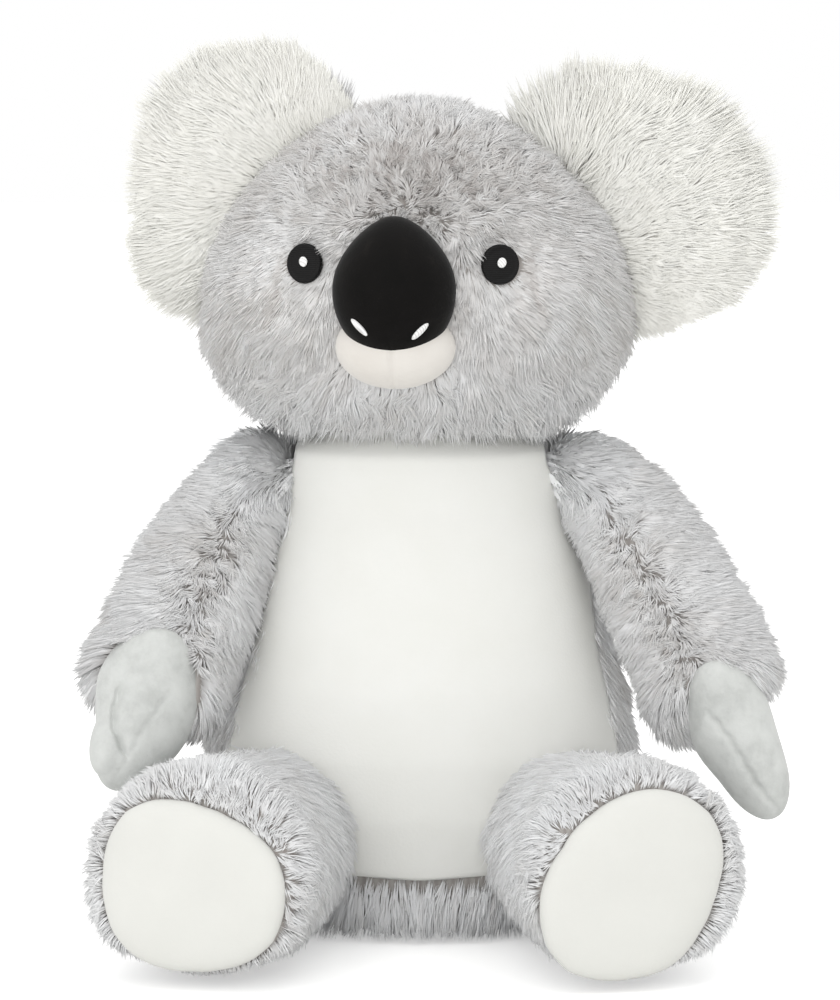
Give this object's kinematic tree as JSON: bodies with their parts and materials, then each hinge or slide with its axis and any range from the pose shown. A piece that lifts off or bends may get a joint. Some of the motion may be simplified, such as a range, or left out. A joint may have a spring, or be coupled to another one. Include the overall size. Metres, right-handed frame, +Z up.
{
  "type": "plush koala",
  "caption": "Seated plush koala with a blank velour tummy panel for embroidery, velour paws and soles, and a zipped seat that lets the filling out.",
  "frame": {"origin": "centre of the flat seat, on the surface the toy sits on", "axes": "+Z up, the face towards -Y, the toy's right arm at -X"},
  "size_m": [0.2627, 0.2181, 0.3335],
  "materials": {
    "grey_plush": "mottled grey long-pile plush",
    "white_pile": "fine white long pile",
    "ivory_velour": "smooth ivory velour",
    "chin_velour": "off-white velour",
    "grey_velour": "short-napped pale grey velour",
    "black_velour": "black velour",
    "black_thread": "satin-stitched black thread",
    "white_thread": "satin-stitched white thread",
    "fibre_fill": "loose polyester fibre filling",
    "zip_tape": "woven polyester tape",
    "zip_nylon": "nylon coil",
    "zip_metal": "nickel-plated metal"
  },
  "bodies": {
    "torso": {"body_plush": "grey_plush", "tummy_panel": "ivory_velour", "body_stuffing_pod": "fibre_fill", "zip_tape_front": "zip_tape", "zip_tape_rear": "zip_tape", "zip_coil_front": "zip_nylon", "zip_coil_rear": "zip_nylon", "zip_stop_left": "zip_metal", "zip_stop_right": "zip_metal"},
    "head": {"head_plush": "grey_plush", "head_stuffing": "fibre_fill", "nose_velour": "black_velour", "chin_velour": "chin_velour", "eye_left": "black_thread", "eye_right": "black_thread", "eye_left_highlight": "white_thread", "eye_right_highlight": "white_thread", "nostril_left": "white_thread", "nostril_right": "white_thread"},
    "ear_left": {"ear_left_front": "white_pile", "ear_left_back": "grey_plush"},
    "arm_left": {"arm_left_sleeve": "grey_plush", "arm_left_paw": "grey_velour", "arm_left_stuffing": "fibre_fill"},
    "leg_left": {"leg_left_plush": "grey_plush", "leg_left_sole": "ivory_velour", "leg_left_stuffing": "fibre_fill"},
    "ear_right": {"ear_right_front": "white_pile", "ear_right_back": "grey_plush"},
    "arm_right": {"arm_right_sleeve": "grey_plush", "arm_right_paw": "grey_velour", "arm_right_stuffing": "fibre_fill"},
    "leg_right": {"leg_right_plush": "grey_plush", "leg_right_sole": "ivory_velour", "leg_right_stuffing": "fibre_fill"},
    "zip_slider": {"zip_slider": "zip_metal"}
  },
  "joints": [
    {"name": "neck_turn", "type": "hinge", "parent": "torso", "child": "head", "pos_m": [0, 0, 0.1855], "axis": [0, 0, 1], "range_deg": [-30, 30]},
    {"name": "ear_left_flex", "type": "hinge", "parent": "head", "child": "ear_left", "pos_m": [-0.06575, 0.00455, 0.282], "axis": [0.4362, -0.0435, 0.8988], "range_deg": [-12, 12], "stiffness_Nm_per_rad": 0.03},
    {"name": "ear_right_flex", "type": "hinge", "parent": "head", "child": "ear_right", "pos_m": [0.07459, -0.00946, 0.268], "axis": [-0.4975, 0.0497, 0.866], "range_deg": [-12, 12], "stiffness_Nm_per_rad": 0.03},
    {"name": "shoulder_left_raise", "type": "hinge", "parent": "torso", "child": "arm_left", "pos_m": [-0.063, -0.012, 0.1675], "axis": [-1, 0, 0], "range_deg": [0, 85]},
    {"name": "shoulder_right_raise", "type": "hinge", "parent": "torso", "child": "arm_right", "pos_m": [0.063, -0.012, 0.1675], "axis": [-1, 0, 0], "range_deg": [0, 85]},
    {"name": "hip_left_spread", "type": "hinge", "parent": "torso", "child": "leg_left", "pos_m": [-0.056, -0.05, 0.0385], "axis": [0, 0, -1], "range_deg": [0, 12]},
    {"name": "hip_right_spread", "type": "hinge", "parent": "torso", "child": "leg_right", "pos_m": [0.056, -0.05, 0.0385], "axis": [0, 0, 1], "range_deg": [0, 12]},
    {"name": "zip_slide", "type": "slide", "parent": "torso", "child": "zip_slider", "axis": [-1, 0, 0], "range_m": [0, 0.06]}
  ]
}
